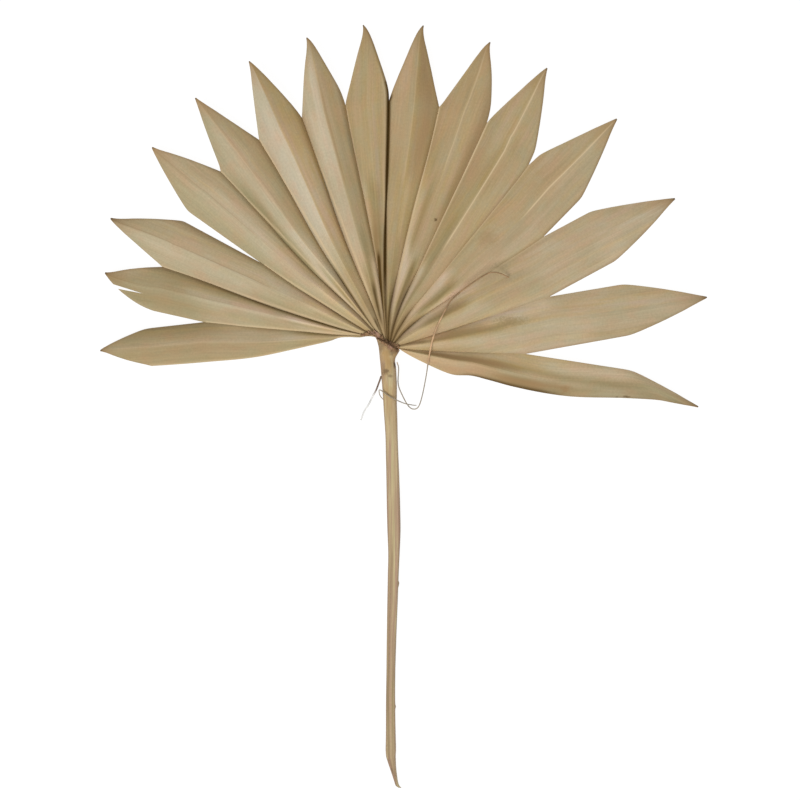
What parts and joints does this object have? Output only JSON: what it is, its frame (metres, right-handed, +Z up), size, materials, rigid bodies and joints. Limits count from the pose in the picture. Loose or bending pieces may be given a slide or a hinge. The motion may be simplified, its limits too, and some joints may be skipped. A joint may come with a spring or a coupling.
{
  "type": "dried palm spear",
  "caption": "Dried fan palm leaf trimmed to a pointed, pleated fan on its own thin stem, lying flat; dried foliage for vases, bouquets and wall decoration.",
  "frame": {"origin": "middle of the outline seen from above, on the surface that the leaf lies on", "axes": "+Y from the cut end of the stem towards the fan's tips, +Z up from the surface, out of the face that the picture shows"},
  "size_m": [0.399, 0.5017, 0.0167],
  "materials": {
    "blade": "matte",
    "stem": "matte",
    "fibre": "matte"
  },
  "bodies": {
    "root": {"fan_blade": "blade", "stem": "stem", "fibre_long": "fibre", "fibre_crossing": "fibre", "fibre_left": "fibre"}
  },
  "joints": []
}
